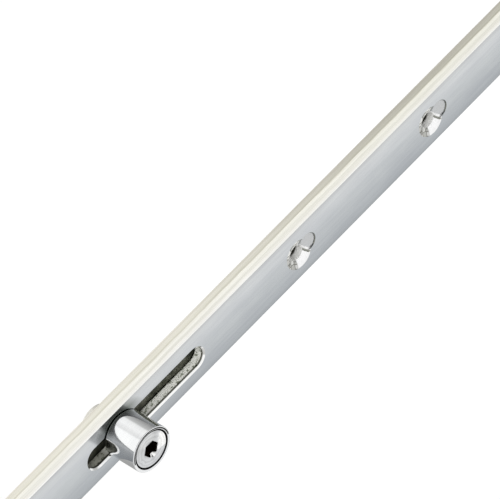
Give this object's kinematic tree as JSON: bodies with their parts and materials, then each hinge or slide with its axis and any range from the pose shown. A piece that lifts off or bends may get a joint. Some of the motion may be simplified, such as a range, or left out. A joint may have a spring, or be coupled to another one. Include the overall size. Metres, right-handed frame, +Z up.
{
  "type": "multipoint door lock",
  "caption": "Slim faceplate with a sliding drive rod, roller cams, a gearbox case with spindle follower, roller latch and deadbolt.",
  "frame": {"origin": "on the spindle's axis, in the middle of the gearbox case's thickness", "axes": "+Z up along the strip, -Y out of the faceplate's front, +X across the strip, along the spindle"},
  "size_m": [0.016, 0.0607, 0.7422],
  "materials": {
    "faceplate": "satin galvanised steel",
    "rod": "bright zinc-plated steel strip",
    "case": "zinc-plated pressed steel",
    "mechanism": "plain zinc-plated steel",
    "cam": "polished bright-plated steel",
    "fastener": "zinc-plated steel",
    "bolt": "nickel-plated steel",
    "spring": "drawn spring wire"
  },
  "bodies": {
    "lockcase": {"faceplate": "faceplate", "lock_case": "case", "case_cover": "case", "case_screw_upper": "fastener", "case_screw_lower": "fastener", "cover_screw_1": "fastener", "cover_screw_2": "fastener", "cover_screw_3": "fastener", "cover_screw_4": "fastener", "guide_bush_1": "fastener", "guide_bush_2": "fastener", "guide_bush_3": "fastener"},
    "drive": {"drive_slide": "rod", "drive_rack": "mechanism", "upper_rod": "rod", "lower_rod": "rod"},
    "follower": {"follower": "mechanism"},
    "latch": {"latch_carrier": "bolt", "latch_axle": "fastener", "latch_stem": "mechanism", "latch_clip": "fastener", "latch_spring": "spring"},
    "latch_roller": {"latch_roller": "cam"},
    "deadbolt": {"deadbolt": "bolt"},
    "upper_pin": {"upper_cam_pin": "cam", "upper_cam_collar": "fastener"},
    "upper_roller": {"upper_cam_roller": "cam"},
    "lower_pin": {"lower_cam_pin": "cam", "lower_cam_collar": "fastener"},
    "lower_roller": {"lower_cam_roller": "cam"}
  },
  "joints": [
    {"name": "rod_slide", "type": "slide", "parent": "lockcase", "child": "drive", "axis": [0, 0, 1], "range_m": [-0.02, 0.0085]},
    {"name": "follower_turn", "type": "hinge", "parent": "lockcase", "child": "follower", "pos_m": [0, 0, 0], "axis": [1, 0, 0], "range_deg": [-21.1, 49.64]},
    {"name": "latch_slide", "type": "slide", "parent": "lockcase", "child": "latch", "axis": [0, 1, 0], "range_m": [0, 0.0055], "stiffness_N_per_m": 500, "springref_m": -0.006, "deforming": ["latch_spring"]},
    {"name": "latch_roller_spin", "type": "hinge", "parent": "latch", "child": "latch_roller", "pos_m": [0, -0.0365, 0.058], "axis": [0, 0, 1], "continuous": true},
    {"name": "deadbolt_throw", "type": "slide", "parent": "lockcase", "child": "deadbolt", "axis": [0, -1, 0], "range_m": [0, 0.02]},
    {"name": "upper_cam_adjust", "type": "hinge", "parent": "drive", "child": "upper_pin", "pos_m": [0, -0.035, 0.1743], "axis": [0, -1, 0], "range_deg": [-90, 90]},
    {"name": "upper_roller_spin", "type": "hinge", "parent": "upper_pin", "child": "upper_roller", "pos_m": [0, -0.035, 0.1751], "axis": [0, -1, 0], "continuous": true},
    {"name": "lower_cam_adjust", "type": "hinge", "parent": "drive", "child": "lower_pin", "pos_m": [0, -0.035, -0.1885], "axis": [0, -1, 0], "range_deg": [-90, 90]},
    {"name": "lower_roller_spin", "type": "hinge", "parent": "lower_pin", "child": "lower_roller", "pos_m": [0, -0.035, -0.1877], "axis": [0, -1, 0], "continuous": true}
  ],
  "couplings": [
    {"joint": "follower_turn", "follows": "rod_slide", "rad_per_m": -43.308}
  ]
}
